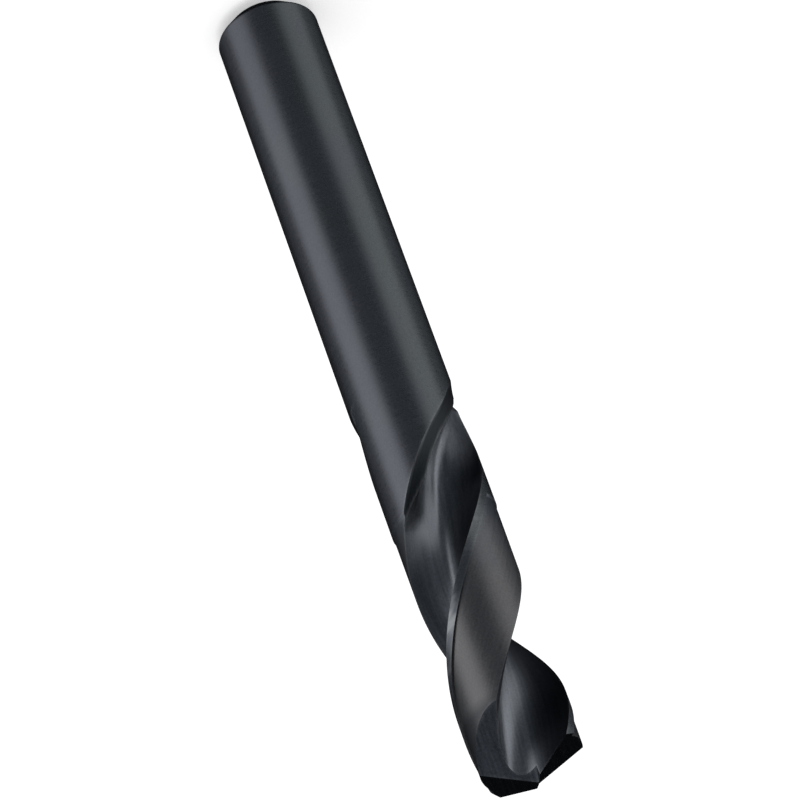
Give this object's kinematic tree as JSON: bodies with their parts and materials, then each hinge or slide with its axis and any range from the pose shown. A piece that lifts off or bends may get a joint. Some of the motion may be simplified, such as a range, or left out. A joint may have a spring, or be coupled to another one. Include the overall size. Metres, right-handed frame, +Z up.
{
  "type": "twist drill bit",
  "caption": "Stub-length straight-shank twist drill bit with a split point, right-hand spiral flutes and a dark oxide finish.",
  "frame": {"origin": "centre of the flat shank end, on the drill's axis", "axes": "+Z up the axis from the shank end to the point; +X is 43 degrees back from one outer corner of the point, about +Z"},
  "size_m": [0.01, 0.01, 0.089],
  "materials": {
    "oxide_steel": "satin black oxide"
  },
  "bodies": {
    "root": {"drill_bit": "oxide_steel"}
  },
  "joints": []
}
